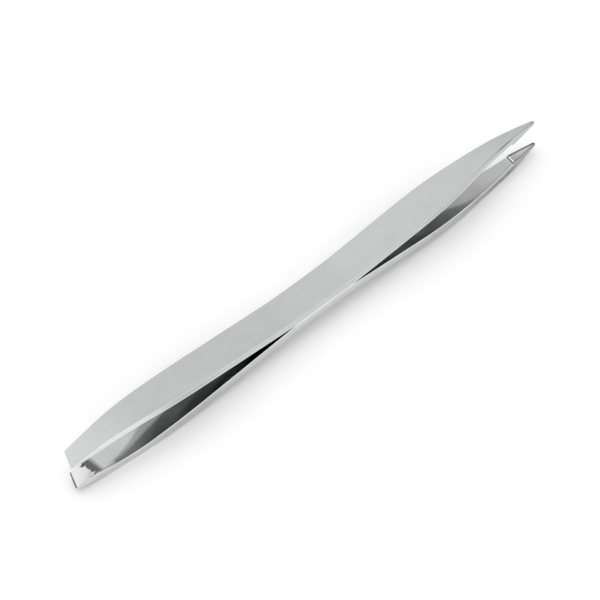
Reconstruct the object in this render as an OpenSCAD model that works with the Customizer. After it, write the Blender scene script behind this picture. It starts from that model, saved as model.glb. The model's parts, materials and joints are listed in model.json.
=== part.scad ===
// Double-ended tweezers: a slanted jaw at one end and a pointed jaw at the other.
// Two spring-steel leaves lie face to face and are spot-welded at the waist. Each leaf
// runs in one piece from the slanted jaw to the pointed jaw, and its arms bow apart.
//
// X runs along the tool with the slanted end at -X, Y runs across the leaves and Z is
// the closing direction. The origin is at the middle of the tool on the surface it lies on.

/* [Leaves] */
// Length over both jaws
overall_length = 115; // [95:1:140]
// Thickness of the strip that each leaf is made from
leaf_thickness = 1.4; // [1:0.05:1.8]
// Width of the leaves at the waist
waist_width = 7; // [5:0.1:9]
// Length of the flat stretch where the leaves are welded together
land_length = 12; // [9:0.5:18]
// Angle at which each arm leaves the seam, in degrees
arm_angle = 4.4; // [3.6:0.1:5]
// Radius of the bend between the flat stretch and an arm, on the outer face
root_bend_radius = 15; // [5:1:40]

/* [Slanted end] */
// Widest part of the slanted arms
slant_arm_width = 7; // [5:0.1:9]
// Width of the slanted jaw at its tip
slant_tip_width = 3.6; // [2.5:0.1:5]
// Angle of the slanted edge from square, in degrees
slant_angle = 22.5; // [0:0.5:35]
// Length over which the arm narrows from its widest part
slant_shoulder_length = 20; // [10:1:24]
// Length of the flank between the shoulder and the tip
slant_flank_length = 8.5; // [6:0.5:14]
// Slope of the flank at the tip, as a share of its steepest slope
slant_flank_ratio = 0.42; // [0.2:0.02:1]
// Length over which the arm bends back towards the seam
slant_bend_length = 16.5; // [10:0.5:24]
// Opening between the jaws at the tip
slant_tip_gap = 5.2; // [3.6:0.1:5.6]
// Thickness of the jaw at its tip
slant_tip_thickness = 0.4; // [0.3:0.05:1]
// Length of the ground gripping face, at its longer side
slant_grip_length = 4.2; // [2.5:0.1:6]
// Radius of the hollow ground behind the gripping face
slant_hollow_radius = 3; // [2:0.1:5]
// Depth to which the hollow is ground into the strip
slant_hollow_depth = 0.5; // [0.3:0.05:0.6]

/* [Pointed end] */
// Widest part of the pointed arms
point_arm_width = 7.4; // [5:0.1:9]
// Width of the pointed jaw at its tip
point_tip_width = 0.6; // [0.4:0.1:1.6]
// Length over which the arm narrows from its widest part
point_shoulder_length = 12.5; // [8:0.5:18]
// Length of the flank between the shoulder and the tip
point_flank_length = 20; // [14:0.5:28]
// Slope of the flank at the tip, as a share of its steepest slope
point_flank_ratio = 1; // [0.6:0.05:1]
// Length over which the arm bends back towards the seam
point_bend_length = 17; // [12:0.5:26]
// Opening between the jaws at the tip
point_tip_gap = 5.2; // [3.6:0.1:5.6]
// Thickness of the jaw at its tip
point_tip_thickness = 0.45; // [0.3:0.05:1]
// Length of the ground gripping face
point_grip_length = 6.5; // [3:0.1:8]
// Radius of the hollow ground behind the gripping face
point_hollow_radius = 0.8; // [0.8:0.1:5]
// Depth to which the hollow is ground into the strip
point_hollow_depth = 0.1; // [0.1:0.05:0.6]

/* [Spring hinges] */
// Distance from the flat stretch to the line that an arm flexes about
hinge_run = 8.5; // [5:0.1:12]
// Radius of the round face that divides an arm from the waist
hinge_radius = 1.5; // [1.2:0.1:3]
// Running clearance at the round face
hinge_clearance = 0.03; // [0.02:0.01:0.08]
// Gap left between the gripping faces when the jaws are closed
closed_clearance = 0.02; // [0.01:0.01:0.1]

/* [Welds] */
// Number of spot welds at the waist
weld_count = 2; // [1:1:3]
// Diameter of a weld nugget
weld_diameter = 2.6; // [1.5:0.1:4]
// Depth of a nugget in each leaf
weld_depth = 0.45; // [0.2:0.05:0.7]
// Distance between neighbouring welds
weld_pitch = 6; // [4.5:0.5:7]

/* [Hidden] */

steel = "#c6c9cc";
ground_steel = "#dadcde";
weld_steel = "#8f8a83";

root_steps = 6;         // facets in the bend beside the waist
bend_steps = 20;        // facets in the bend of an arm towards its jaw
outline_steps = 14;     // facets in a shoulder or flank of the outline
round_fn = 96;          // smoothness of the round faces
tip_fn = 32;            // smoothness of the rounded point
ridge_step = 0.05;      // length of the step from the strip up to a gripping face
cut_margin = 4;         // how far cutting solids stand past the leaf

half_length = overall_length / 2;
land_half = land_length / 2;
hinge_x = land_half + hinge_run;
widest = max(waist_width, slant_arm_width, point_arm_width);

// ---- Side view of one arm, with the seam at z = 0 and the tip towards +x ----

// Height of the line parallel to the straight part of an arm, at depth below the outer face
function arm_line(x, depth) =
    let (r = root_bend_radius + depth)
    leaf_thickness - depth + r * (1 - cos(arm_angle))
        + (x - land_half - r * sin(arm_angle)) * tan(arm_angle);

hinge_z = arm_line(hinge_x, leaf_thickness / 2);

// Angle that closes an arm whose tips stand tip_gap apart
function closing_angle(tip_gap) =
    let (
        reach = half_length - hinge_x,
        rise = tip_gap / 2 - hinge_z,
        drop = hinge_z - closed_clearance / 2
    )
    asin(drop / norm([reach, rise])) + atan2(rise, reach);

// Height of the gripping face, which lies flat on the seam once the arm is closed
function grip_height(x, tip_gap) =
    tip_gap / 2 - (half_length - x) * tan(closing_angle(tip_gap));

// The bend towards the jaw is one arc on the outer face: [centre x, centre z, radius, end angle].
// It leaves the straight part smoothly and ends at the tip's outer corner.
function jaw_bend(bend_length, tip_gap, tip_thickness) =
    let (
        start = [half_length - bend_length, arm_line(half_length - bend_length, 0)],
        span = [half_length, tip_gap / 2 + tip_thickness] - start,
        normal = [sin(arm_angle), -cos(arm_angle)],
        radius = (span * span) / (2 * (normal * span)),
        centre = start + radius * normal
    )
    [centre.x, centre.y, radius, atan2(span.y - radius * normal.y, span.x - radius * normal.x)];

// Highest point of an arm's outer face above the seam
function bow_height(bend) = bend[1] + bend[2];

// Points along the inside of the root bend or the outside, from the waist outwards
function root_points(depth) = [
    for (i = [0 : root_steps])
        let (a = arm_angle * i / root_steps, r = root_bend_radius + depth)
        [land_half + r * sin(a), leaf_thickness - depth + r * (1 - cos(a))]
];

// Points along the jaw bend at a depth below the outer face, from the arm to the tip
function bend_points(bend, depth) = [
    for (i = [0 : bend_steps])
        let (a = 90 + arm_angle + (bend[3] - 90 - arm_angle) * i / bend_steps, r = bend[2] - depth)
        [bend[0] + r * cos(a), bend[1] + r * sin(a)]
];

// Outer face of an arm, from the waist to the tip
function outer_points(bend) = concat(root_points(0), bend_points(bend, 0));

// Inner face of an arm, from the waist to the tip: strip, then the gripping face
function inner_points(bend, tip_gap, grip_length) =
    let (ridge = half_length - grip_length)
    concat(
        root_points(leaf_thickness),
        [for (p = bend_points(bend, leaf_thickness)) if (p.x < ridge - 2 * ridge_step) p],
        [
            [ridge - ridge_step, grip_height(ridge, tip_gap)],
            [ridge, grip_height(ridge, tip_gap)],
            [half_length, tip_gap / 2]
        ]
    );

// ---- Plan outline of one arm, half width against x ----

// Half width along a shoulder that steepens from 0 and a flank that keeps share of that slope
function outline_points(arm_width, tip_width, shoulder, flank, share) =
    let (
        drop = (arm_width - tip_width) / 2,
        slope = drop / (shoulder / 2 + flank * (1 + share) / 2),
        start = half_length - shoulder - flank
    )
    concat(
        [for (i = [0 : outline_steps])
            let (s = shoulder * i / outline_steps)
            [start + s, arm_width / 2 - slope * s * s / (2 * shoulder)]],
        [for (i = [1 : outline_steps])
            let (s = flank * i / outline_steps)
            [start + shoulder + s, arm_width / 2 - slope * shoulder / 2
                - slope * s + slope * (1 - share) * s * s / (2 * flank)]]
    );

slant_outline = outline_points(slant_arm_width, slant_tip_width,
    slant_shoulder_length, slant_flank_length, slant_flank_ratio);
point_outline = outline_points(point_arm_width, point_tip_width,
    point_shoulder_length, point_flank_length, point_flank_ratio);

slant_bend = jaw_bend(slant_bend_length, slant_tip_gap, slant_tip_thickness);
point_bend = jaw_bend(point_bend_length, point_tip_gap, point_tip_thickness);

// The tool lies on the bows of its lower leaf
seam_height = max(bow_height(slant_bend), bow_height(point_bend));

// ---- Whole leaf ----

function mirrored(points) = [for (p = points) [-p.x, p.y]];
function reversed(points) = [for (i = [len(points) - 1 : -1 : 0]) points[i]];
function flipped(points) = [for (p = points) [p.x, -p.y]];

// Side view of the upper leaf, from the slanted tip to the pointed tip and back
module leaf_side() {
    outer = concat(
        reversed(mirrored(outer_points(slant_bend))),
        outer_points(point_bend)
    );
    inner = concat(
        reversed(mirrored(inner_points(slant_bend, slant_tip_gap, slant_grip_length))),
        inner_points(point_bend, point_tip_gap, point_grip_length)
    );
    polygon(concat(outer, reversed(inner)));
}

// Plan view of a leaf, with the slanted edge cut and the point rounded
module leaf_plan() {
    side = concat(
        reversed(mirrored(slant_outline)),
        [[0, waist_width / 2]],
        point_outline
    );
    difference() {
        intersection() {
            polygon(concat(side, reversed(flipped(side))));
            square([overall_length, widest], center = true);
        }
        // The near corner of the slanted jaw is the longer one
        translate([-half_length, -slant_tip_width / 2])
            rotate(-slant_angle)
                translate([-cut_margin, -cut_margin])
                    square([cut_margin, 3 * cut_margin]);
        point_corners();
    }
}

// What is ground away to round the pointed tip
module point_corners() {
    r = point_tip_width / 2;
    difference() {
        translate([half_length - r, -point_tip_width])
            square([2 * r, 2 * point_tip_width]);
        translate([half_length - r, 0])
            circle(r, $fn = tip_fn);
    }
}

// Round hollow that relieves the inner face behind a gripping face
module hollow(tip_gap, grip_length, radius, depth, bend) {
    ridge = half_length - grip_length;
    ridge_z = grip_height(ridge, tip_gap);
    strip_z = bend[1] + sqrt(pow(bend[2] - leaf_thickness, 2) - pow(ridge - bend[0], 2));
    centre_z = max(strip_z, ridge_z) + depth - radius;
    centre_x = ridge - sqrt(pow(radius, 2) - pow(ridge_z - centre_z, 2));
    translate([centre_x, 0, centre_z])
        rotate([90, 0, 0])
            cylinder(r = radius, h = widest + cut_margin, center = true, $fn = round_fn);
}

// Upper leaf, with the seam at z = 0
module leaf() {
    difference() {
        intersection() {
            rotate([90, 0, 0])
                linear_extrude(widest + cut_margin, center = true)
                    leaf_side();
            linear_extrude(2 * seam_height)
                leaf_plan();
        }
        mirror([1, 0, 0])
            hollow(slant_tip_gap, slant_grip_length, slant_hollow_radius,
                slant_hollow_depth, slant_bend);
        hollow(point_tip_gap, point_grip_length, point_hollow_radius,
            point_hollow_depth, point_bend);
    }
}

// Round bar on a hinge line, at side = 1 for the pointed end and -1 for the slanted end
module hinge_bar(side, radius) {
    translate([side * hinge_x, 0, hinge_z])
        rotate([90, 0, 0])
            cylinder(r = radius, h = widest + 2 * cut_margin, center = true, $fn = round_fn);
}

// Block that covers the leaf beyond a hinge line
module beyond_hinge(side) {
    translate([side * (hinge_x + half_length / 2), 0, seam_height])
        cube([half_length, widest + cut_margin, 3 * seam_height], center = true);
}

// Block that covers the leaf before a hinge line, up to the far tip
module before_hinge(side) {
    translate([side * (hinge_x - half_length), 0, seam_height])
        cube([overall_length, widest + cut_margin, 3 * seam_height], center = true);
}

// Pockets or nuggets of the welds, half of each in a leaf
module weld_row(height) {
    for (i = [0 : weld_count - 1])
        translate([(i - (weld_count - 1) / 2) * weld_pitch, 0, 0])
            cylinder(d = weld_diameter, h = height, center = true, $fn = round_fn);
}

// ---- Lengths of a leaf, as they lie in the upper leaf ----

// Welded middle of a leaf, up to the round faces that its arms flex on
module leaf_waist() {
    color(steel)
        difference() {
            leaf();
            for (side = [-1, 1])
                difference() {
                    beyond_hinge(side);
                    hinge_bar(side, hinge_radius);
                }
            weld_row(2 * weld_depth);
        }
}

// Arm of a leaf at the pointed end (side = 1) or the slanted end (side = -1)
module leaf_arm(side, shade) {
    color(shade)
        difference() {
            leaf();
            before_hinge(side);
            hinge_bar(side, hinge_radius + hinge_clearance);
        }
}

module place() {
    translate([0, 0, seam_height])
        children();
}

module upper_leaf_waist() {
    place() leaf_waist();
}

module upper_slant_arm() {
    place() leaf_arm(-1, ground_steel);
}

module upper_point_arm() {
    place() leaf_arm(1, ground_steel);
}

module lower_leaf_waist() {
    place() mirror([0, 0, 1]) leaf_waist();
}

module lower_slant_arm() {
    place() mirror([0, 0, 1]) leaf_arm(-1, ground_steel);
}

module lower_point_arm() {
    place() mirror([0, 0, 1]) leaf_arm(1, ground_steel);
}

// Weld nuggets that hold the two leaves together
module spot_welds() {
    color(weld_steel)
        place() weld_row(2 * weld_depth);
}

upper_leaf_waist();
upper_slant_arm();
upper_point_arm();
lower_leaf_waist();
lower_slant_arm();
lower_point_arm();
spot_welds();
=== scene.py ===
"""Double-ended tweezers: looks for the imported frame, laid out as a Blender add-on."""

import json
import math

import bmesh
import bpy
from bpy.props import FloatProperty, FloatVectorProperty, IntProperty, PointerProperty
from bpy.types import Operator, Panel, PropertyGroup
from mathutils import Matrix, Vector, noise
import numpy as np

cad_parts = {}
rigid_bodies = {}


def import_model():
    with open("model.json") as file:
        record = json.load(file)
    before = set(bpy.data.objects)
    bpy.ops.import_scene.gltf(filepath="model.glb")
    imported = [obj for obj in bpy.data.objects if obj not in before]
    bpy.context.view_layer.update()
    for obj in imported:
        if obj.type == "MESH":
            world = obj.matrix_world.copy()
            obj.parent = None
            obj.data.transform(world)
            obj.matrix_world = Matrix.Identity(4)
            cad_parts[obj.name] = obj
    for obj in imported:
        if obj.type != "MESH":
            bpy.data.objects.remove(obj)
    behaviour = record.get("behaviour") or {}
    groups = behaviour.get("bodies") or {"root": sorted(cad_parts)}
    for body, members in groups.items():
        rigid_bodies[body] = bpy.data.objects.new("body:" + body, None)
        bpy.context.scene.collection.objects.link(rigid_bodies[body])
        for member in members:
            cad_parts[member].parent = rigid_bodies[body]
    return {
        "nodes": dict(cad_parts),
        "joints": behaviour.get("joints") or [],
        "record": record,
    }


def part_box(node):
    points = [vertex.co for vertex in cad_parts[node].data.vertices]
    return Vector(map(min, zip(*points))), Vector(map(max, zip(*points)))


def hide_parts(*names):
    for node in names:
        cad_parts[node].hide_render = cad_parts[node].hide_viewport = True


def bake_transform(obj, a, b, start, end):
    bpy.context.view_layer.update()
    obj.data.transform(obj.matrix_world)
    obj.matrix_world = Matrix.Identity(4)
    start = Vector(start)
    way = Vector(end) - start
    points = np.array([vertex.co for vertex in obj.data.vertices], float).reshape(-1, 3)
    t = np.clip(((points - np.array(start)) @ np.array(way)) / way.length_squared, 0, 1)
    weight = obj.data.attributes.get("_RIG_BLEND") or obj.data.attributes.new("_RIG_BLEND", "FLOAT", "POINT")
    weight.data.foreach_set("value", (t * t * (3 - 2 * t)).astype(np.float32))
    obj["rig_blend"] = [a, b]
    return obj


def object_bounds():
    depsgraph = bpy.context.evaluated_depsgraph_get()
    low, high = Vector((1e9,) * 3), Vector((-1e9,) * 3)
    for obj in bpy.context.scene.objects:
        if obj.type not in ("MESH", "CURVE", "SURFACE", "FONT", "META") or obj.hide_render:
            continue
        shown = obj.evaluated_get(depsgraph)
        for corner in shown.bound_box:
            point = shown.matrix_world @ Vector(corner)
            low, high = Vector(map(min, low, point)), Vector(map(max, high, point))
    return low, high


bl_info = {
    "name": "Double-Ended Tweezers",
    "version": (1, 0, 0),
    "blender": (4, 5, 0),
    "location": "View3D > Sidebar > Tweezers",
    "description": "Builds the spring leaves, jaws and finishes of double-ended tweezers",
    "category": "Add Mesh",
}

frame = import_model()
cad_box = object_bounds()

MM = 0.001
SLANTED = -1
POINTED = 1
UPPER = 1
LOWER = -1
# How far on each side of its hinge a leaf bends, as spring steel does
FLEX_REACH = 7.5 * MM

# ---- Places that the frame gives ----

mount_height = {m["name"]: m["pos_m"][2] for m in frame["record"]["mounts"]}
SEAM_HEIGHT = (mount_height["waist_top"] + mount_height["waist_bottom"]) / 2
LEAF_THICKNESS = (mount_height["waist_top"] - mount_height["waist_bottom"]) / 2
HALF_LENGTH = (cad_box[1].x - cad_box[0].x) / 2
SLANT_ARM_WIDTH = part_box("upper_slant_arm")[1].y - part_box("upper_slant_arm")[0].y
POINT_ARM_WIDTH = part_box("upper_point_arm")[1].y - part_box("upper_point_arm")[0].y


# ---- Sizes and finishes that a user may change ----

def length(name, description, millimetres, low, high):
    """A size given in millimetres and kept in metres."""
    return FloatProperty(name=name, description=description, unit="LENGTH", precision=5,
                         default=millimetres * MM, min=low * MM, max=high * MM)


def angle(name, description, degrees, low, high):
    """An angle given in degrees and kept in radians."""
    return FloatProperty(name=name, description=description, subtype="ANGLE",
                         default=math.radians(degrees), min=math.radians(low),
                         max=math.radians(high))


def share(name, description, default):
    """A share from 0 to 1."""
    return FloatProperty(name=name, description=description, subtype="FACTOR",
                         default=default, min=0, max=1)


def colour(name, description, default):
    """A colour in linear light."""
    return FloatVectorProperty(name=name, description=description, subtype="COLOR",
                               size=3, default=default, min=0, max=1)


class TweezersLeaf(PropertyGroup):
    thickness: length("Thickness", "Thickness of the strip", LEAF_THICKNESS / MM, 0.5, 3)
    waist_width: length("Waist width", "Width of the leaves at the waist", 7, 3, 12)
    land_length: length("Land length", "Flat stretch where the leaves are welded", 12, 4, 30)
    arm_angle: angle("Arm angle", "Angle at which an arm leaves the seam", 4.4, 1, 10)
    root_bend_radius: length("Root bend radius", "Bend beside the flat stretch", 15, 5, 60)
    outer_bend_radius: length("Outer bend radius", "The same bend on the polished face", 70, 5, 90)
    outer_edge_radius: length("Outer edge radius", "Rounding of the polished face", 0.07, 0.01, 0.5)
    inner_edge_radius: length("Inner edge radius", "Rounding beside the seam", 0.08, 0.01, 0.5)
    crown: length("Crown", "Height of the outer face's crown", 0.02, 0, 0.2)


class TweezersSlantedJaw(PropertyGroup):
    arm_width: length("Arm width", "Widest part of the arm", SLANT_ARM_WIDTH / MM, 4, 12)
    tip_width: length("Tip width", "Width of the jaw at its tip", 3.6, 2, 6)
    tip_slant: angle("Tip slant", "Angle of the slanted edge from square", 22.5, 0, 40)
    shoulder_length: length("Shoulder length", "Where the arm starts to narrow", 20, 8, 30)
    flank_length: length("Flank length", "Between the shoulder and the tip", 8.5, 4, 20)
    flank_ratio: share("Flank slope at tip", "Share of the flank's steepest slope", 0.42)
    bend_length: length("Bend length", "Where the arm bends back to the seam", 16.5, 8, 26)
    tip_gap: length("Tip gap", "Opening between the jaws", 5.2, 3, 6)
    tip_thickness: length("Tip thickness", "Thickness of the jaw at its tip", 0.4, 0.2, 1.2)
    grip_length: length("Grip length", "Length of the ground face", 4.2, 2, 8)
    hollow_radius: length("Hollow radius", "Hollow behind the ground face", 3, 1, 6)
    hollow_depth: length("Hollow depth", "Depth of the hollow in the strip", 0.5, 0.1, 0.8)
    hollow_ease: length("Hollow ease", "Softness of the way into the hollow", 0.45, 0, 1)
    hollow_rim: share("Hollow rim", "How far the hollow fades out towards one side", 0.45)
    hollow_skew: length("Hollow skew", "How far the hollow leans from square", 0.35, -1, 1)
    pad_edge_radius: length("Pad edge radius", "Rounding beside the ground face", 0.14, 0.01, 0.5)
    ridge_radius: length("Ridge radius", "Softness of the ground face's back edge", 0.03, 0, 0.5)
    ragged_edge: length("Ragged edge", "How far the ground face's edge wanders", 0.42, 0, 1)
    groove_count: IntProperty(name="Grooves", description="Cross grooves", default=0, min=0, max=12)
    # Extra rounding of the flanks and painted shade on them, as a share
    flank_rounding_and_shade: share("Ground flank", "How far the side walls are ground by hand", 0)
    # Painted shade in the hollow behind the gripping face, as a share
    hollow_painted_shade: share("Hollow soot", "How dark grinding left the hollow", 0.74)


class TweezersPointedJaw(PropertyGroup):
    arm_width: length("Arm width", "Widest part of the arm", POINT_ARM_WIDTH / MM, 4, 12)
    tip_width: length("Tip width", "Width of the jaw at its tip", 0.6, 0.3, 3)
    tip_slant: angle("Tip slant", "Angle of the tip from square", 0, 0, 40)
    shoulder_length: length("Shoulder length", "Where the arm starts to narrow", 12.5, 6, 24)
    flank_length: length("Flank length", "Between the shoulder and the tip", 20, 8, 30)
    flank_ratio: share("Flank slope at tip", "Share of the flank's steepest slope", 1)
    bend_length: length("Bend length", "Where the arm bends back to the seam", 17, 8, 28)
    tip_gap: length("Tip gap", "Opening between the jaws", 5.2, 3, 6)
    tip_thickness: length("Tip thickness", "Thickness of the jaw at its tip", 0.45, 0.2, 1.2)
    grip_length: length("Grip length", "Length of the ground face", 6.5, 2, 10)
    hollow_radius: length("Hollow radius", "Hollow behind the ground face", 0.8, 0.5, 6)
    hollow_depth: length("Hollow depth", "Depth of the hollow in the strip", 0.1, 0.05, 0.8)
    hollow_ease: length("Hollow ease", "Softness of the way into the hollow", 0.1, 0, 1)
    hollow_rim: share("Hollow rim", "How far the hollow fades out towards one side", 0)
    hollow_skew: length("Hollow skew", "How far the hollow leans from square", 0.3, -1, 1)
    pad_edge_radius: length("Pad edge radius", "Rounding beside the ground face", 0.06, 0.01, 0.5)
    ridge_radius: length("Ridge radius", "Softness of the ground face's back edge", 0.22, 0, 0.5)
    ragged_edge: length("Ragged edge", "How far the ground face's edge wanders", 0.05, 0, 1)
    groove_count: IntProperty(name="Grooves", description="Cross grooves", default=5, min=0, max=12)
    # Extra rounding of the flanks and painted shade on them, as a share
    flank_rounding_and_shade: share("Ground flank", "How far the side walls are ground by hand", 1.0)
    # Painted shade in the hollow behind the gripping face, as a share
    hollow_painted_shade: share("Hollow soot", "How dark grinding left the hollow", 0)


class TweezersSteel(PropertyGroup):
    face_colour: colour("Face", "Polished outer faces", (0.545, 0.547, 0.55))
    # The same polished steel as the face, given a darker colour as painted shade between the leaves
    shaded_inside_colour: colour("Inside", "Faces between the leaves", (0.4, 0.402, 0.405))
    wall_colour: colour("Side wall", "Tumbled side walls", (0.76, 0.762, 0.765))
    grip_colour: colour("Grip", "Ground gripping faces", (0.8, 0.8, 0.8))
    cut_colour: colour("Cut end", "Sheared ends of the jaws", (0.6, 0.6, 0.6))
    # Tone of the painted shade along the lower leaf's slanted tip edge, with 1 for none
    painted_tip_shade: share("Burr shade", "How light the burr along the lower slanted edge is", 0.22)
    weld_colour: colour("Weld", "Fused steel of the welds", (0.5, 0.48, 0.46))


class TweezersStudio(PropertyGroup):
    camera_turn: angle("Camera turn", "Turn of the camera round the tool", -36.6, -180, 180)
    camera_height: angle("Camera height", "Camera's angle above the floor", 46.4, 5, 90)
    camera_roll: angle("Camera roll", "Clockwise lean of the camera", 7.85, -45, 45)
    camera_distance: length("Camera distance", "From the lens to the tool", 484, 200, 2000)
    target_x: length("Target along", "What the camera looks at, along the tool", -2.32, -50, 50)
    target_y: length("Target across", "What the camera looks at, across the tool", 0.7, -50, 50)
    lens: FloatProperty(name="Lens", description="Focal length", unit="CAMERA",
                        default=160.3, min=20, max=400)
    floor_colour: colour("Floor", "Colour of the floor", (0.95, 0.95, 0.95))
    tent_light: FloatProperty(name="Tent", description="Light of the white tent",
                              default=1.15, min=0, max=5)
    horizon_light: FloatProperty(name="Horizon", description="Light of the tent near the floor",
                                 default=1.12, min=0, max=5)
    window_light: FloatProperty(name="Window", description="Extra light from behind on the left",
                                default=0.3, min=0, max=5)
    key_power: FloatProperty(name="Key", description="Power of the key light", unit="POWER",
                             default=0.9, min=0, max=50)
    fill_power: FloatProperty(name="Fill", description="Power of the low fill light", unit="POWER",
                              default=2.3, min=0, max=50)


# ---- Soft steps ----

def smooth(t):
    """A soft step: 0 up to t = 0, 1 from t = 1 on."""
    t = min(1.0, max(0.0, t))
    return t * t * (3 - 2 * t)


def rise(x, start, end):
    """0 up to start, 1 from end on, with a soft step between."""
    return smooth((x - start) / (end - start))


def fall(x, start, end):
    """1 up to start, 0 from end on, with a soft step between."""
    return 1 - rise(x, start, end)


# ---- Shape of one arm: x runs from the middle to the tip, height from the seam ----

class ArmShape:
    """Side view and outline of one arm, worked out from its sizes."""

    # How early the way down into the hollow becomes as soft as it gets
    EASE_PACE = 1.6

    def __init__(self, leaf, jaw, painted_tip_shade):
        self.leaf = leaf
        self.jaw = jaw
        self.painted_tip_shade = painted_tip_shade
        self.tip = HALF_LENGTH
        self.land = leaf.land_length / 2
        self.ridge = self.tip - jaw.grip_length
        self.hinge = abs(frame["joints"][0]["pos_m"][0])
        half_turn = math.tan(leaf.arm_angle / 2)
        # Middle and half length of the polished face's own, softer root bend
        self.polished_bend = Vector((self.land + leaf.root_bend_radius * half_turn,
                                     leaf.outer_bend_radius * half_turn))
        self.set_jaw_bend()
        self.set_closing_angle()
        self.set_hollow()

    def arm_line(self, x, depth=0.0):
        """Height of the straight part of the arm, at a depth below the outer face."""
        radius = self.leaf.root_bend_radius + depth
        bend_height = radius * (1 - math.cos(self.leaf.arm_angle))
        run = x - self.land - radius * math.sin(self.leaf.arm_angle)
        return self.leaf.thickness - depth + bend_height + run * math.tan(self.leaf.arm_angle)

    def set_jaw_bend(self):
        """The bend towards the jaw is one arc that ends at the tip's outer corner."""
        start_x = self.tip - self.jaw.bend_length
        start = Vector((start_x, self.arm_line(start_x)))
        end = Vector((self.tip, self.jaw.tip_gap / 2 + self.jaw.tip_thickness))
        span = end - start
        normal = Vector((math.sin(self.leaf.arm_angle), -math.cos(self.leaf.arm_angle)))
        self.bend_radius = span.length_squared / (2 * normal.dot(span))
        self.bend_centre = start + self.bend_radius * normal

    def set_closing_angle(self):
        """The gripping face lies flat on the seam once the arm has turned by this angle."""
        hinge_height = self.arm_line(self.hinge, self.leaf.thickness / 2)
        reach = Vector((self.tip - self.hinge, self.jaw.tip_gap / 2 - hinge_height))
        self.closing = math.asin(hinge_height / reach.length) + math.atan2(reach.y, reach.x)

    def set_hollow(self):
        """The hollow behind the gripping face is round and ends on the face's ridge."""
        ridge_height = self.grip(self.ridge)
        strip_height = self.strip(self.ridge, self.leaf.thickness)
        top = max(strip_height, ridge_height) + self.jaw.hollow_depth
        radius = self.jaw.hollow_radius
        back = math.sqrt(radius ** 2 - (ridge_height - top + radius) ** 2)
        self.hollow_centre = Vector((self.ridge - back, top - radius))

    def grip(self, x):
        """Height of the gripping face, or of its plane behind the ridge."""
        return self.jaw.tip_gap / 2 - (self.tip - x) * math.tan(self.closing)

    def strip(self, x, depth):
        """Height of the bent strip at a depth below its outer face."""
        leaf = self.leaf
        root = leaf.root_bend_radius + depth
        if depth == 0 and abs(x - self.polished_bend.x) < self.polished_bend.y:
            run = x - self.polished_bend.x + self.polished_bend.y
            centre = leaf.thickness + leaf.outer_bend_radius
            return centre - math.sqrt(leaf.outer_bend_radius ** 2 - run ** 2)
        if x <= self.land:
            return leaf.thickness - depth
        if x < self.land + root * math.sin(leaf.arm_angle):
            centre = leaf.thickness + leaf.root_bend_radius
            return centre - math.sqrt(root ** 2 - (x - self.land) ** 2)
        radius = self.bend_radius - depth
        if x < self.bend_centre.x - radius * math.sin(leaf.arm_angle):
            return self.arm_line(x, depth)
        return self.bend_centre.y + math.sqrt(radius ** 2 - (x - self.bend_centre.x) ** 2)

    def inner(self, x, across=0.0):
        """Height of the inner face: strip, hollow, softened ridge, then the gripping face."""
        softness = self.jaw.ridge_radius
        if x >= self.ridge + softness:
            return self.grip(x)
        if x >= self.ridge:
            left = 1 - (x - self.ridge) / softness
            return self.grip(x) + softness / 2 * left ** 2
        strip = self.strip(x, self.leaf.thickness)
        return strip + (self.hollow(x, strip) - strip) * self.hollow_share(across)

    def hollow_share(self, across):
        """How much of the hollow's depth is left here: it fades out towards one side."""
        if self.jaw.hollow_rim == 0:
            return 1.0
        return fall(-across, 1 - self.jaw.hollow_rim, 1)

    def hollow(self, x, strip):
        """Height of the strip with the hollow ground into it."""
        run = x - self.hollow_centre.x
        reach = self.jaw.hollow_radius ** 2 - run ** 2
        if reach <= 0:
            return strip
        hollow = self.hollow_centre.y + math.sqrt(reach)
        if run >= 0:
            return max(strip, hollow)
        # The way down into the hollow is soft
        ease = self.jaw.hollow_ease * smooth(-run / self.jaw.hollow_radius * self.EASE_PACE)
        return (strip + hollow + math.hypot(strip - hollow, ease)) / 2

    def half_width(self, x):
        """Half the width: a shoulder that steepens, then a flank; a narrow tip is round."""
        jaw = self.jaw
        slope = (jaw.arm_width - jaw.tip_width) / 2
        slope /= jaw.shoulder_length / 2 + jaw.flank_length * (1 + jaw.flank_ratio) / 2
        start = self.tip - jaw.shoulder_length - jaw.flank_length
        if x < start:
            waist = self.leaf.waist_width / 2
            return waist + (jaw.arm_width / 2 - waist) * x / start
        run = min(x - start, jaw.shoulder_length)
        width = jaw.arm_width / 2 - slope * run * run / (2 * jaw.shoulder_length)
        run = max(0.0, x - start - jaw.shoulder_length)
        width -= slope * (run - (1 - jaw.flank_ratio) * run * run / (2 * jaw.flank_length))
        tip_radius = jaw.tip_width / 2
        past = x - (self.tip - tip_radius)
        if jaw.tip_slant == 0 and past > 0:
            width = min(width, math.sqrt(max(tip_radius ** 2 - past ** 2, 0)))
        return width


# ---- Stations along an arm ----

def spread(start, end, step):
    """Evenly spaced values from start up to but without end, at most step apart."""
    count = max(1, math.ceil((end - start) / step))
    return [start + (end - start) * i / count for i in range(count)]


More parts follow.
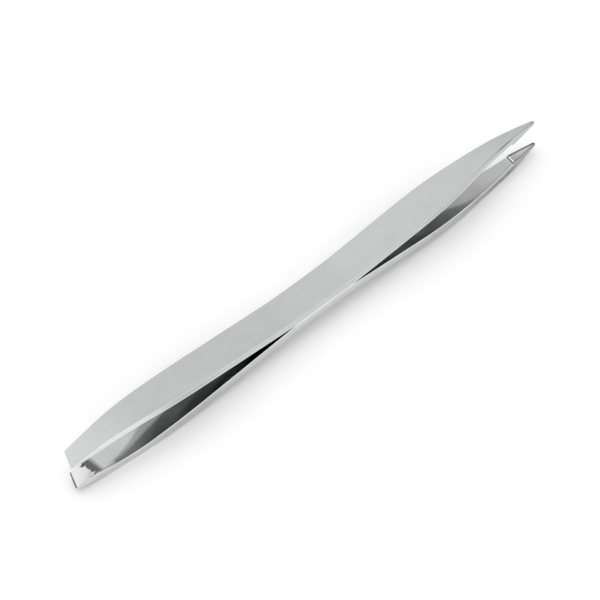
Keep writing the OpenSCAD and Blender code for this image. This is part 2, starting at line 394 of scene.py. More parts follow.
def arm_stations(shape):
    """Distances from the middle at which the leaf's section is laid out, with their insets."""
    jaw = shape.jaw
    fine = 0.08 * MM
    tip_edge = min(0.05 * MM, jaw.tip_width / 8)
    tip_edge_steps = 4
    round_tip_steps = 8
    outer_bend_start = shape.polished_bend.x - shape.polished_bend.y
    outer_bend_end = shape.polished_bend.x + shape.polished_bend.y
    jaw_bend_start = shape.tip - jaw.bend_length
    hollow_start = shape.hollow_centre.x - jaw.hollow_radius
    tip_start = shape.tip - (tip_edge if jaw.tip_slant else jaw.tip_width / 2)
    xs = spread(0, outer_bend_start, 1.0 * MM)
    xs += spread(outer_bend_start, shape.land, 0.2 * MM)
    xs += spread(shape.land, outer_bend_end, 0.1 * MM)
    xs += spread(outer_bend_end, jaw_bend_start, 0.8 * MM)
    xs += spread(jaw_bend_start, hollow_start, 0.35 * MM)
    xs += spread(hollow_start, shape.ridge - fine, fine)
    xs += [shape.ridge - 0.5 * fine, shape.ridge - 0.2 * fine, shape.ridge]
    xs += spread(shape.ridge + 0.4 * fine, tip_start, fine)
    round_run = shape.tip - tip_edge - tip_start
    if round_run > 0:
        turns = [math.pi / 2 * i / round_tip_steps for i in range(round_tip_steps)]
        xs += [tip_start + round_run * math.sin(turn) for turn in turns]
    stations = [(x, 0.0) for x in xs]
    for i in range(tip_edge_steps + 1):
        turn = math.pi / 2 * i / tip_edge_steps
        inset = tip_edge * (1 - math.cos(turn))
        stations.append((shape.tip - tip_edge * (1 - math.sin(turn)), inset))
    return stations


# ---- Marks of grinding and filing, and where the flanks take painted shade ----

# Stretch, from the middle, over which the flanks' extra rounding and painted shade set in
FLANK_START = (32 * MM, 46 * MM)
# How much more the outer corners of the flanks are rounded where they take their full share
FLANK_ROUNDING = 0.06 * MM
# Length before the tip over which painted shade on the flanks deepens further
TIP_LENGTH = 1.8 * MM
GROOVE_DEPTH = 0.06 * MM
GROOVE_PITCH = 0.38 * MM
# Smooth steel between the ridge and the first groove
GROOVE_MARGIN = 0.18 * MM
# How much shallower the last groove is than the first, as a share
GROOVE_FADE = 0.7
# Widths of what makes the ridge ragged
WAVE_WIDTH = 1.0 * MM
TOOTH_WIDTH = 0.36 * MM
SPLINTER_WIDTH = 0.16 * MM
# How far from the ridge its raggedness and its lean reach
RAGGED_REACH = 0.9 * MM
LEAN_REACH = 3 * MM
# Torn spots: their depth, their length and width, and how far from the ridge they reach
TEAR_DEPTH = 0.04 * MM
TEAR_LENGTH = 0.45 * MM
TEAR_WIDTH = 0.3 * MM
TEAR_REACH = 1.8 * MM


def ragged(y, seed):
    """Wander of the ground face's edge, from -1 to 1: waves, teeth and fine splinters."""
    waves = noise.noise(Vector((y / WAVE_WIDTH, seed, 0.0)))
    teeth = noise.noise(Vector((y / TOOTH_WIDTH, seed, 7.3)))
    splinters = noise.noise(Vector((y / SPLINTER_WIDTH, seed, 3.9)))
    return max(-1.0, min(1.0, 0.9 * waves + 1.7 * teeth + 0.6 * splinters))


def ridge_wander(shape, station, y, across, seed):
    """How far the ridge's ragged edge and its lean move the inner face along the arm here."""
    away = abs(station - shape.ridge)
    wander = shape.jaw.ragged_edge * ragged(y, seed) * fall(away, 0, RAGGED_REACH)
    return wander + shape.jaw.hollow_skew * across * fall(away, 0, LEAN_REACH)


def groove_share(shape, x):
    """How deep the file-cut grooves across the root of the gripping face are here, up to 1."""
    run = x - shape.ridge - GROOVE_MARGIN
    end = GROOVE_PITCH * shape.jaw.groove_count
    if not 0 < run < end:
        return 0.0
    wave = 0.5 - 0.5 * math.cos(2 * math.pi * run / GROOVE_PITCH)
    return (1 - GROOVE_FADE * run / end) * wave ** 2


def torn_share(shape, station, y, seed):
    """How torn the gripping face is here: grinding tears spots just inside its ragged edge."""
    if shape.jaw.groove_count or station < shape.ridge:
        return 0.0
    spot = noise.noise(Vector((station / TEAR_LENGTH, y / TEAR_WIDTH, seed + 3.1)))
    return fall(station, shape.ridge, shape.ridge + TEAR_REACH) * rise(spot, 0.1, 0.5)


def flank_share(shape, station):
    """How far the flanks are rounded more and given painted shade here: a pointed jaw has both along its
    flanks.
    """
    return shape.jaw.flank_rounding_and_shade * rise(station, *FLANK_START)


def tip_share(shape, station):
    """How near this is to the end of a tip with painted shade on its flanks, up to 1."""
    return shape.jaw.flank_rounding_and_shade * rise(station, shape.tip - TIP_LENGTH, shape.tip)


# ---- Section of the leaf ----

# How often a section point's lean and width are worked out from each other
LEAN_ROUNDS = 3
# A corner's rounding takes at most these shares of the steel's thickness and half width
THICKNESS_LIMIT = 0.3
WIDTH_LIMIT = 0.45
# Stretch behind the ridge over which the inner corners take on the gripping face's rounding
CORNER_CHANGE = 1.5 * MM


def section_rule():
    """The section's points in order, as (part, side, share): part says how a point is placed."""
    outer = [-1, -0.985, -0.94, -0.8, -0.6, -0.4, -0.2, 0, 0.2, 0.4, 0.6, 0.8, 0.94, 0.985, 1]
    wall = [0.15, 0.5, 0.85]
    outer_steps = 4
    inner_steps = 6
    columns = 56
    outer_turn = [i / outer_steps for i in range(1, outer_steps + 1)]
    inner_turn = [i / inner_steps for i in range(inner_steps)]
    rule = [("outer", 0, u) for u in outer]
    rule += [("outer_edge", 1, u) for u in outer_turn]
    rule += [("wall", 1, u) for u in wall]
    rule += [("inner_edge", 1, u) for u in inner_turn]
    rule += [("inner", 0, 1 - 2 * i / columns) for i in range(columns + 1)]
    rule += [("inner_edge", -1, u) for u in reversed(inner_turn)]
    rule += [("wall", -1, u) for u in reversed(wall)]
    rule += [("outer_edge", -1, u) for u in reversed(outer_turn)]
    return rule


def edge_radii(shape, x, width, station):
    """Rounding of the section's outer and inner corners; thin or narrow steel limits both."""
    leaf, jaw = shape.leaf, shape.jaw
    thickness = shape.strip(x, 0) - shape.inner(x, 1.0)
    limit = min(THICKNESS_LIMIT * thickness, WIDTH_LIMIT * width)
    on_jaw = rise(x, shape.ridge - CORNER_CHANGE, shape.ridge)
    inner = leaf.inner_edge_radius
    inner += (jaw.pad_edge_radius - inner) * on_jaw
    outer = leaf.outer_edge_radius + FLANK_ROUNDING * flank_share(shape, station)
    return min(outer, limit), min(inner, limit)


def section_place(shape, station, inset, rule):
    """One section point seen from above: x, y, half width and corner radii there."""
    part, side, u = rule
    jaw = shape.jaw
    # Sections lean from square on the gripping face until they lie along the slanted tip
    on_grip = max(0.0, (station - shape.ridge) / jaw.grip_length)
    shear = on_grip * math.tan(jaw.tip_slant)
    turn = math.pi / 2 * u
    x = station
    for _ in range(LEAN_ROUNDS):
        width = shape.half_width(x) - inset
        outer_radius, inner_radius = edge_radii(shape, x, width, station)
        if part == "outer":
            y = u * (width - outer_radius)
        elif part == "outer_edge":
            y = side * (width - outer_radius + outer_radius * math.sin(turn))
        elif part == "wall":
            y = side * width
        elif part == "inner_edge":
            y = side * (width - inner_radius + inner_radius * math.cos(turn))
        else:
            y = u * (width - inner_radius)
        x = station - shear * (y + jaw.tip_width / 2)
    return x, y, width, outer_radius, inner_radius


def section_point(shape, station, inset, rule, seed):
    """Place of one point of the section: x, y and height."""
    part, _, u = rule
    leaf = shape.leaf
    x, y, width, outer_radius, inner_radius = section_place(shape, station, inset, rule)
    across = y / width if width > 0 else 0.0
    # The inner face keeps its relief and follows the strip or the gripping face as it wanders
    if station >= shape.ridge:
        relief = shape.inner(x, across) - shape.grip(x)
        relief += GROOVE_DEPTH * groove_share(shape, x)
        relief += TEAR_DEPTH * torn_share(shape, station, y, seed)
    else:
        relief = shape.inner(x, across) - shape.strip(x, leaf.thickness)
    if part in ("inner", "inner_edge"):
        x += ridge_wander(shape, station, y, across, seed)
    outer = shape.strip(x, 0) - inset
    inner = relief + inset
    inner += shape.grip(x) if station >= shape.ridge else shape.strip(x, leaf.thickness)
    turn = math.pi / 2 * u
    if part == "outer":
        crown = leaf.crown * smooth(1 - across ** 2) if width > 0 else 0.0
        height = outer - leaf.crown + crown
    elif part == "outer_edge":
        height = outer - leaf.crown - outer_radius * (1 - math.cos(turn))
    elif part == "wall":
        top = outer - leaf.crown - outer_radius
        height = top + (inner + inner_radius - top) * u
    elif part == "inner_edge":
        height = inner + inner_radius * (1 - math.sin(turn))
    else:
        height = inner
    return x, y, height


# ---- Tones: painted light and shade, as how much darker or lighter than its finish the steel is, with 1 for as it is ----

# A shade darkens the steel by a share and a gain lightens it: all are painted shade and painted light except
# TORN_SHADE, which darkens torn spots. FLANK ones are painted on a pointed jaw with its flanks' share
FACE_GAIN = 0.06
FACE_TIP_SHADE = 0.28
FLANK_EDGE_SHADE = 0.3
NICK_SHADE = 0.35
UPPER_WAIST_SHADE = 0.23
LOWER_WAIST_SHADE = 0.04
LOWER_WALL_SHADE = 0.15
BELLY_SHADE = 0.1
WALL_GAIN = 0.05
UPPER_FLANK_SHADE = 0.28
LOWER_FLANK_SHADE = 0.36
WALL_TIP_SHADE = 0.15
INNER_EDGE_GAIN = 0.08
MOUTH_GAIN = 0.3
FLANK_MOUTH_SHADE = 0.14
GAP_SHADE = 0.28
FLANK_MARGIN_SHADE = 0.12
FOOT_SHADE = 0.6
WEDGE_SHADE = 0.34
PAD_GAIN = 0.06
PAD_EDGE_SHADE = 0.1
FLANK_PAD_EDGE_SHADE = 0.5
FLANK_PAD_SHADE = 0.27
FLANK_PAD_TIP_SHADE = 0.35
GROOVE_SHADE = 0.5
BACK_EDGE_GAIN = 0.5
BEVEL_SHADE = 0.7
TORN_SHADE = 0.4
# Share of the hollow's painted shade that also lies where the hollow has faded out
FAINT_HOLLOW_SHADE = 0.4
# Stretches, from the middle, over which painted light and shade set in and end
FACE_GAIN_START = (46 * MM, 54 * MM)
NICK_START = (45.5 * MM, 47.5 * MM)
NICK_END = (49 * MM, 51.5 * MM)
WAIST_END = (34 * MM, 44 * MM)
BELLY_START = (22 * MM, 30 * MM)
BELLY_END = (35 * MM, 42 * MM)
GAP_START = (20 * MM, 29 * MM)
GAP_END = (31 * MM, 39 * MM)
MOUTH_START = (40 * MM, 45 * MM)
MARGIN_START = (31 * MM, 38 * MM)
WEDGE_START = (33 * MM, 38 * MM)
# Painted dark reflections of bevels beside the pointed gripping face's far and near edges, and where they
# end; the bevels themselves aren't modelled
FAR_BEVEL = 0.32 * MM
NEAR_BEVEL = 0.02 * MM
BEVEL_END = 0.2 * MM
# Width of the painted shade along the lower slanted edge
PAINTED_TIP_SHADE_WIDTH = 0.3 * MM


def tone_of(shape, station, rule, side):
    """Tone of painted light and shade at this point of the section."""
    part, _, u = rule
    flank = flank_share(shape, station)
    # Painted light on the polished face towards a slanted tip, painted shade towards a pointed one
    if part == "outer" and abs(u) < 1:
        toward_tip = rise(station, *FACE_GAIN_START) * (1 - flank)
        return 1 + FACE_GAIN * toward_tip - FACE_TIP_SHADE * tip_share(shape, station)
    # Painted shade along the outer edges of shaded flanks, deeper over a short stretch where the edge is
    # nicked
    if part in ("outer", "outer_edge"):
        nick = rise(station, *NICK_START) * fall(station, *NICK_END)
        return 1 - FLANK_EDGE_SHADE * flank - NICK_SHADE * nick * shape.jaw.flank_rounding_and_shade
    if part == "wall":
        return wall_tone(shape, station, u, side)
    if station < shape.ridge:
        return inner_tone(shape, station, part, u)
    # Painted shade along the gripping face's edges
    if part == "inner_edge":
        return 1 - PAD_EDGE_SHADE * beside_pad(shape, station) - FLANK_PAD_EDGE_SHADE * flank
    # Painted shade along the lower leaf's slanted tip edge
    in_painted_tip_shade = shape.tip - station < PAINTED_TIP_SHADE_WIDTH
    if side == LOWER and in_painted_tip_shade and not shape.jaw.flank_rounding_and_shade:
        return shape.painted_tip_shade
    return pad_tone(shape, station, u)


def beside_pad(shape, station):
    """0 along the arm, 1 beside the gripping face."""
    return rise(station, shape.ridge - 0.5 * MM, shape.ridge + 1 * MM)


def wall_tone(shape, station, u, side):
    """Painted shade of a side wall: darker from the waist to the arm, with that shade gone beside the
    gripping face.
    """
    flank = flank_share(shape, station)
    near_waist = fall(station, *WAIST_END)
    belly = rise(station, *BELLY_START) * fall(station, *BELLY_END)
    if side == UPPER:
        roughness_and_shade = UPPER_WAIST_SHADE * near_waist
        flank_shade = UPPER_FLANK_SHADE * flank
    else:
        roughness_and_shade = LOWER_WALL_SHADE + LOWER_WAIST_SHADE * near_waist
        flank_shade = LOWER_FLANK_SHADE * flank
    # The painted shade is lighter beside the seam and deeper along the arm's belly, and WALL_GAIN takes a
    # little off it as painted light
    roughness_and_shade = roughness_and_shade * fall(u, 0.7, 1) + BELLY_SHADE * belly * (1 - flank) - WALL_GAIN
    # Painted shade towards a tip with shaded flanks
    tip = WALL_TIP_SHADE * tip_share(shape, station)
    return 1 - roughness_and_shade * (1 - beside_pad(shape, station)) - flank_shade - tip


def inner_tone(shape, station, part, u):
    """Painted shade and light between the leaves: darker in the gap's depth, lighter towards the jaw."""
    jaw = shape.jaw
    # Painted highlight on the inner edges
    if part != "inner":
        return 1 + INNER_EDGE_GAIN
    # Painted light towards the jaw and painted shade in the gap's depth
    mouth = rise(station, *MOUTH_START)
    depth = rise(station, *GAP_START) * fall(station, *GAP_END)
    bright = 1 + (MOUTH_GAIN - FLANK_MOUTH_SHADE * jaw.flank_rounding_and_shade) * mouth
    bright -= GAP_SHADE * depth
    if jaw.flank_rounding_and_shade:
        # Painted shade along the near margin and at the foot of the step before the ridge
        margin = rise(-u, 0.5, 0.9) * rise(station, *MARGIN_START)
        foot = rise(station, shape.ridge - 0.3 * MM, shape.ridge - 0.15 * MM)
        return bright * (1 - FLANK_MARGIN_SHADE * margin) * (1 - FOOT_SHADE * foot)
    # The lit part widens towards the jaw and leaves a wedge of painted shade beside the near edge
    shade_line = 0.85 - 0.125 * (station / MM - 38)
    wedge = rise(shade_line - u, 0, 0.25) * rise(station, *WEDGE_START)
    middle = shape.hollow_centre.x
    # Painted shade in the hollow, growing towards the ridge
    painted_shade = jaw.hollow_painted_shade * rise(station, middle - 0.9 * MM, middle + 0.4 * MM)
    painted_shade *= FAINT_HOLLOW_SHADE + (1 - FAINT_HOLLOW_SHADE) * shape.hollow_share(u)
    return bright * (1 - WEDGE_SHADE * wedge) * (1 - painted_shade)


def pad_tone(shape, station, u):
    """Painted light and shade of the gripping face: a pointed one has a painted highlight on its back edge
    and painted dark reflections beside its edges.
    """
    if not shape.jaw.flank_rounding_and_shade:
        # Painted light, more towards the near edge
        return 1 + PAD_GAIN * (1 - u)
    # Painted dark reflections beside the far and near edges
    from_edge = (1 - abs(u)) * shape.half_width(station)
    bevel_width = FAR_BEVEL if u > 0 else NEAR_BEVEL
    bevel = fall(from_edge, bevel_width, bevel_width + BEVEL_END)
    # Painted highlight along the back edge by the ridge
    back_edge = fall(station, shape.ridge + 0.12 * MM, shape.ridge + 0.22 * MM)
    # Painted shade on shaded flanks, deeper towards the tip and in the grooves
    flank_shade = FLANK_PAD_SHADE + FLANK_PAD_TIP_SHADE * tip_share(shape, station)
    plain = 1 - flank_share(shape, station) * flank_shade - GROOVE_SHADE * groove_share(shape, station)
    return (plain + BACK_EDGE_GAIN * back_edge) * (1 - BEVEL_SHADE * bevel)


# ---- Leaf mesh ----

# A leaf's finishes, in the order of its material slots
LEAF_FINISHES = ("polished_face", "tumbled_side_wall", "shaded_polished_inside", "ground_grip", "cut_end")
OUTER, WALL, INNER, GRIP, CUT = range(len(LEAF_FINISHES))


def region_of(first, second, station, ridge):
    """Which finish the faces between two section points take."""
    parts = {first[0], second[0]}
    if parts <= {"outer", "outer_edge"}:
        return OUTER
    if parts == {"inner"}:
        return GRIP if station >= ridge else INNER
    return WALL


def add_ring(bm, shape, end, side, seed, station, inset, rule):
    """The leaf's section at one station as a ring of vertices, with their wear and their tone: painted light
    and shade, and darker torn spots.
    """
    rim = bm.verts.layers.float["rim"]
    tone = bm.verts.layers.float["tone"]
    ring = []
    for point in rule:
        part, _, u = point
        x, y, height = section_point(shape, station, inset, point, seed)
        vertex = bm.verts.new((end * x, y, SEAM_HEIGHT + side * height))
        vertex[rim] = 1.0 if "edge" in part or abs(u) == 1 or inset > 0 else 0.0
        vertex[tone] = tone_of(shape, station, point, side)
        if part == "inner":
            vertex[tone] *= 1 - TORN_SHADE * torn_share(shape, station, y, seed)
        ring.append(vertex)
    return ring


def leaf_half(name, shape, end, side, seed):
    """One leaf from the middle of the waist to its jaw tip, as a closed mesh."""
    rule = section_rule()
    stations = arm_stations(shape)
    # The tip's edge is rounded off in steps, and those further in than this are the cut end
    cut_inset = 0.3 * stations[-1][1]
    mesh = bpy.data.meshes.new(name)
    bm = bmesh.new()
    bm.verts.layers.float.new("rim")
    bm.verts.layers.float.new("tone")
    rings = [add_ring(bm, shape, end, side, seed, station, inset, rule)
             for station, inset in stations]
    count = len(rule)
    for k in range(len(rings) - 1):
        for i in range(count):
            j = (i + 1) % count
            face = bm.faces.new((rings[k][i], rings[k][j], rings[k + 1][j], rings[k + 1][i]))
            face.material_index = region_of(rule[i], rule[j], stations[k][0], shape.ridge)
            if stations[k + 1][1] > cut_inset:
                face.material_index = CUT
            face.smooth = True
    for ring in (rings[0], rings[-1]):
        cap = bm.faces.new(ring)
        cap.material_index = CUT
        for edge in cap.edges:
            edge.smooth = False
    bmesh.ops.recalc_face_normals(bm, faces=bm.faces)
    bm.to_mesh(mesh)
    bm.free()
    return bpy.data.objects.new(name, mesh)


# ---- Steel ----

def node(tree, kind, place, **inputs):
    """A new node at a place in the tree, with its unlinked inputs set by name."""
    made = tree.nodes.new(kind)
    made.location = place
    for name, value in inputs.items():
        made.inputs[name.replace("_", " ")].default_value = value
    return made


def grain(tree, place, scale, detail, axis_scale):
    """Noise stretched along the tool, as a polishing belt or a grinding wheel leaves it."""
    link = tree.links.new
    coords = node(tree, "ShaderNodeTexCoord", (place[0] - 400, place[1]))
    mapping = node(tree, "ShaderNodeMapping", (place[0] - 200, place[1]), Scale=axis_scale)
    pattern = node(tree, "ShaderNodeTexNoise", place, Scale=scale, Detail=detail, Roughness=0.6)
    link(coords.outputs["Object"], mapping.inputs["Vector"])
    link(mapping.outputs["Vector"], pattern.inputs["Vector"])
    return pattern.outputs["Fac"]


def mapped(tree, source, place, low, high):
    """A noise value spread from low to high."""
    remap = node(tree, "ShaderNodeMapRange", place, From_Min=0.3, From_Max=0.7,
                 To_Min=low, To_Max=high)
    tree.links.new(source, remap.inputs["Value"])
    return remap.outputs["Result"]


# Axis scales of the grain: along the tool, across it, the same all ways, and of the smudges
LENGTHWISE = (70, 9000, 9000)
CROSSWISE = (7000, 500, 500)
EVEN = (1500, 1500, 1500)
SMUDGES = (260, 420, 420)
# How much lighter steel is where handling has worn it
WORN_GAIN = 1.15


def steel(name, base, lines, *, roughness, unevenness, line_depth, anisotropy=0.3):
    """Bare steel: lines are the axis scales of its grain, line_depth how deep the grain is cut."""
    material = bpy.data.materials.new(name)
    material.use_nodes = True
    tree = material.node_tree
    tree.nodes.clear()
    link = tree.links.new
    output = node(tree, "ShaderNodeOutputMaterial", (900, 0))
    shader = node(tree, "ShaderNodeBsdfPrincipled", (600, 0), Metallic=1.0,
                  Anisotropic=anisotropy)
    link(shader.outputs["BSDF"], output.inputs["Surface"])

    scratches = grain(tree, (-400, 200), 1.0, 4.0, lines)
    smudges = grain(tree, (-400, -200), 1.0, 2.0, SMUDGES)

    # Colour: the base with faint smudges and streaks
    cloud = mapped(tree, smudges, (-150, -200), 0.965, 1.02)
    streaks = mapped(tree, scratches, (-150, 100), 0.975, 1.02)
    both = node(tree, "ShaderNodeMath", (0, 0))
    both.operation = "MULTIPLY"
    link(cloud, both.inputs[0])
    link(streaks, both.inputs[1])
    tint = node(tree, "ShaderNodeVectorMath", (200, 100))
    tint.operation = "SCALE"
    tint.inputs[0].default_value = base
    link(both.outputs["Value"], tint.inputs["Scale"])

    # Edges are worn lighter in patches
    rim = node(tree, "ShaderNodeAttribute", (0, -300))
    rim.attribute_name = "rim"
    wear = node(tree, "ShaderNodeMath", (200, -300))
    wear.operation = "MULTIPLY"
    link(rim.outputs["Fac"], wear.inputs[0])
    link(mapped(tree, smudges, (0, -450), 0.1, 0.6), wear.inputs[1])
    worn = node(tree, "ShaderNodeMix", (400, 100))
    worn.data_type = "RGBA"
    worn.inputs["B"].default_value = (*[min(1, c * WORN_GAIN) for c in base], 1)
    link(wear.outputs["Value"], worn.inputs["Factor"])
    link(tint.outputs["Vector"], worn.inputs["A"])

    # The tone that the mesh carries: painted light and shade, and darker torn spots
    tone = node(tree, "ShaderNodeAttribute", (400, 300))
    tone.attribute_name = "tone"
    toned = node(tree, "ShaderNodeVectorMath", (500, 200))
    toned.operation = "SCALE"
    link(worn.outputs["Result"], toned.inputs[0])
    link(tone.outputs["Fac"], toned.inputs["Scale"])
    link(toned.outputs["Vector"], shader.inputs["Base Color"])

    # Roughness and the cut of the grain
    roughness_and_shade = mapped(tree, smudges, (-150, -600), roughness * (1 - unevenness),
                  roughness * (1 + unevenness))
    link(roughness_and_shade, shader.inputs["Roughness"])
    bump = node(tree, "ShaderNodeBump", (400, -300), Strength=1.0, Distance=line_depth)
    link(scratches, bump.inputs["Height"])
    link(bump.outputs["Normal"], shader.inputs["Normal"])
    return material


def leaf_materials():
    """The finishes of a leaf in the order of its slots, made once and shared by all halves."""
    made = [bpy.data.materials.get(name) for name in LEAF_FINISHES]
    if all(made):
        return made
    looks = bpy.context.scene.tweezers_steel
    face, wall, shaded_inside, grip, cut = LEAF_FINISHES
    return [
        steel(face, looks.face_colour, LENGTHWISE,
              roughness=0.16, unevenness=0.25, line_depth=0.6e-6),
        steel(wall, looks.wall_colour, LENGTHWISE,
              roughness=0.34, unevenness=0.2, line_depth=2e-6),
        steel(shaded_inside, looks.shaded_inside_colour, LENGTHWISE,
              roughness=0.13, unevenness=0.25, line_depth=0.5e-6),
        steel(grip, looks.grip_colour, CROSSWISE,
              roughness=0.38, unevenness=0.15, line_depth=4e-6),
        steel(cut, looks.cut_colour, CROSSWISE,
              roughness=0.4, unevenness=0.2, line_depth=3e-6, anisotropy=0.0),
    ]


# ---- Pieces ----

def build_pair(end, jaw, end_name):
    """Both leaves' halves at one end, upper and lower, each bending at its own joint."""
    scene = bpy.context.scene
    shape = ArmShape(scene.tweezers_leaf, jaw, scene.tweezers_steel.painted_tip_shade)
    for side, side_name in ((UPPER, "upper"), (LOWER, "lower")):
        # Each half has a seed of its own, so no two ragged edges are the same
        seed = 10 * end + 4 * side
        piece = leaf_half(f"{side_name}_{end_name}_leaf", shape, end, side, seed)
        scene.collection.objects.link(piece)
        for material in leaf_materials():
            piece.data.materials.append(material)
        joint = next(j for j in frame["joints"] if j["name"] == f"{side_name}_{end_name}_flex")
        hinge = Vector(joint["pos_m"])
        reach = Vector((end * FLEX_REACH, 0, 0))
        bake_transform(piece, joint["parent"], joint["child"], start=hinge - reach, end=hinge + reach)
        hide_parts(f"{side_name}_leaf_waist", f"{side_name}_{end_name}_arm")


# ---- Operators ----

class TWEEZERS_OT_studio(Operator):
    """Set up the camera, the pale floor and the soft light"""
    bl_idname = "tweezers.studio"
    bl_label = "Studio"

    FLOOR_RADIUS = 3.0
    LIGHT_DIAMETER = 0.9
    # Directions from the tool towards the lights and the brighter part of the tent
    KEY_DIRECTION = (-0.12, 0.15, 1.0)
    FILL_DIRECTION = (-0.55, -0.75, 0.35)
    WINDOW_DIRECTION = (-0.25, 0.6, 0.76)

    def execute(self, context):
        studio = context.scene.tweezers_studio
        self.add_camera(context, studio)
        self.add_floor(context, studio)
        self.add_tent(context, studio)
        self.add_light(context, "key", studio.key_power, self.KEY_DIRECTION)
        self.add_light(context, "fill", studio.fill_power, self.FILL_DIRECTION)
        context.scene.view_settings.view_transform = "Standard"
        return {"FINISHED"}

    def add_camera(self, context, studio):
        """Camera that looks at the tool from its turn, height and distance, leaning by its roll."""
        data = bpy.data.cameras.new("camera")
        data.lens = studio.lens
        data.clip_start = 0.01
        camera = bpy.data.objects.new("camera", data)
        turn, height = studio.camera_turn, studio.camera_height
        back = Vector((
            math.sin(turn) * math.cos(height),
            -math.cos(turn) * math.cos(height),
            math.sin(height),
        ))
        target = Vector((studio.target_x, studio.target_y, SEAM_HEIGHT))
        roll = Matrix.Rotation(-studio.camera_roll, 4, "Z")
        facing = (-back).to_track_quat("-Z", "Y").to_matrix().to_4x4()
        camera.matrix_world = (
            Matrix.Translation(target + studio.camera_distance * back) @ facing @ roll
        )
        context.scene.collection.objects.link(camera)
        context.scene.camera = camera

    def add_floor(self, context, studio):
        """Pale, matt, round floor under the tool."""
        mesh = bpy.data.meshes.new("floor")
        bm = bmesh.new()
        bmesh.ops.create_circle(bm, cap_ends=True, segments=96, radius=self.FLOOR_RADIUS)
        bm.to_mesh(mesh)
        bm.free()
        floor = bpy.data.objects.new("floor", mesh)
        material = bpy.data.materials.new("pale_floor")
        material.use_nodes = True
        shader = material.node_tree.nodes["Principled BSDF"]
        shader.inputs["Base Color"].default_value = (*studio.floor_colour, 1)
        shader.inputs["Roughness"].default_value = 0.9
        shader.inputs["Specular IOR Level"].default_value = 0.0
        mesh.materials.append(material)
        context.scene.collection.objects.link(floor)

    def add_tent(self, context, studio):
        """White tent all round, brighter with height and high up behind the tool on the left."""
        world = bpy.data.worlds.new("white_tent")
        world.use_nodes = True
        context.scene.world = world
        tree = world.node_tree
        tree.nodes.clear()
        link = tree.links.new
        output = node(tree, "ShaderNodeOutputWorld", (600, 0))
        background = node(tree, "ShaderNodeBackground", (400, 0))
        coords = node(tree, "ShaderNodeTexCoord", (-400, 0))
        upward = node(tree, "ShaderNodeSeparateXYZ", (-200, 200))
        dome = node(tree, "ShaderNodeMapRange", (0, 200), From_Min=0.1, From_Max=0.62,
                    To_Min=studio.horizon_light, To_Max=studio.tent_light)
        toward = node(tree, "ShaderNodeVectorMath", (-200, -100))
        toward.operation = "DOT_PRODUCT"
        toward.inputs[1].default_value = Vector(self.WINDOW_DIRECTION).normalized()
        window = node(tree, "ShaderNodeMapRange", (0, -100), From_Min=0.6, From_Max=1.0,
                      To_Min=0.0, To_Max=studio.window_light)
        level = node(tree, "ShaderNodeMath", (200, 0))
        for ramp in (dome, window):
            ramp.interpolation_type = "SMOOTHSTEP"
        link(coords.outputs["Generated"], upward.inputs["Vector"])
        link(coords.outputs["Generated"], toward.inputs[0])
        link(upward.outputs["Z"], dome.inputs["Value"])
        link(toward.outputs["Value"], window.inputs["Value"])
        link(dome.outputs["Result"], level.inputs[0])
        link(window.outputs["Result"], level.inputs[1])
        link(level.outputs["Value"], background.inputs["Strength"])
        link(background.outputs["Background"], output.inputs["Surface"])

    def add_light(self, context, name, power, direction):
        """A large disc one metre away that lights the floor but doesn't mirror in the steel."""
        data = bpy.data.lights.new(name, "AREA")
        data.shape = "DISK"
        data.size = self.LIGHT_DIAMETER
        data.energy = power
        light = bpy.data.objects.new(name, data)
        toward = Vector(direction).normalized()
        light.location = toward
        light.rotation_mode = "QUATERNION"
        light.rotation_quaternion = toward.to_track_quat("Z", "Y")
        light.visible_glossy = False
        context.scene.collection.objects.link(light)


class TWEEZERS_OT_slanted_jaws(Operator):
    """Build both leaves from the waist to the slanted jaws"""
    bl_idname = "tweezers.slanted_jaws"
    bl_label = "Slanted Jaws"

    def execute(self, context):
        build_pair(SLANTED, context.scene.tweezers_slanted_jaw, "slant")
        return {"FINISHED"}


class TWEEZERS_OT_pointed_jaws(Operator):
    """Build both leaves from the waist to the pointed jaws"""
    bl_idname = "tweezers.pointed_jaws"
    bl_label = "Pointed Jaws"

    def execute(self, context):
        build_pair(POINTED, context.scene.tweezers_pointed_jaw, "point")
        return {"FINISHED"}


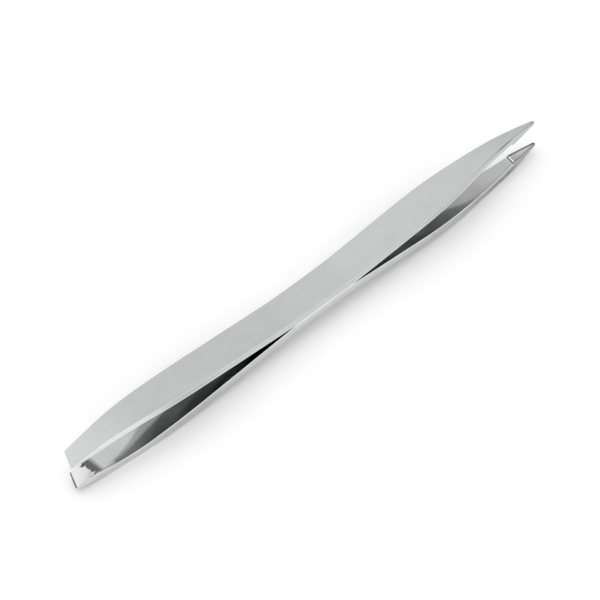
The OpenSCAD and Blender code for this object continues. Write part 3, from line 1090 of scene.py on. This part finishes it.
class TWEEZERS_OT_welds(Operator):
    """Give the weld nuggets between the leaves their fused finish"""
    bl_idname = "tweezers.welds"
    bl_label = "Spot Welds"

    def execute(self, context):
        looks = context.scene.tweezers_steel
        welds = frame["nodes"]["spot_welds"]
        material = steel("fused_steel", looks.weld_colour, EVEN,
                         roughness=0.5, unevenness=0.3, line_depth=8e-6, anisotropy=0.0)
        welds.data.materials.clear()
        welds.data.materials.append(material)
        return {"FINISHED"}


class TWEEZERS_PT_tool(Panel):
    """Sizes and steps of the tweezers"""
    bl_label = "Tweezers"
    bl_idname = "TWEEZERS_PT_tool"
    bl_space_type = "VIEW_3D"
    bl_region_type = "UI"
    bl_category = "Tweezers"

    def draw(self, context):
        for step in STEPS:
            self.layout.operator(step.bl_idname)
        for name in GROUPS:
            group = getattr(context.scene, name)
            box = self.layout.box()
            box.label(text=name.replace("_", " ").title())
            for key in group.bl_rna.properties.keys():
                if key not in ("rna_type", "name"):
                    box.prop(group, key)


GROUPS = {
    "tweezers_leaf": TweezersLeaf,
    "tweezers_slanted_jaw": TweezersSlantedJaw,
    "tweezers_pointed_jaw": TweezersPointedJaw,
    "tweezers_steel": TweezersSteel,
    "tweezers_studio": TweezersStudio,
}
STEPS = (
    TWEEZERS_OT_studio,
    TWEEZERS_OT_slanted_jaws,
    TWEEZERS_OT_pointed_jaws,
    TWEEZERS_OT_welds,
)


def register():
    for group in GROUPS.values():
        bpy.utils.register_class(group)
    for name, group in GROUPS.items():
        setattr(bpy.types.Scene, name, PointerProperty(type=group))
    for step in STEPS:
        bpy.utils.register_class(step)
    bpy.utils.register_class(TWEEZERS_PT_tool)


def unregister():
    bpy.utils.unregister_class(TWEEZERS_PT_tool)
    for step in reversed(STEPS):
        bpy.utils.unregister_class(step)
    for name in GROUPS:
        delattr(bpy.types.Scene, name)
    for group in GROUPS.values():
        bpy.utils.unregister_class(group)


def main():
    register()
    bpy.ops.tweezers.studio()
    bpy.ops.tweezers.slanted_jaws()
    bpy.ops.tweezers.pointed_jaws()
    bpy.ops.tweezers.welds()


if __name__ == "__main__":
    main()
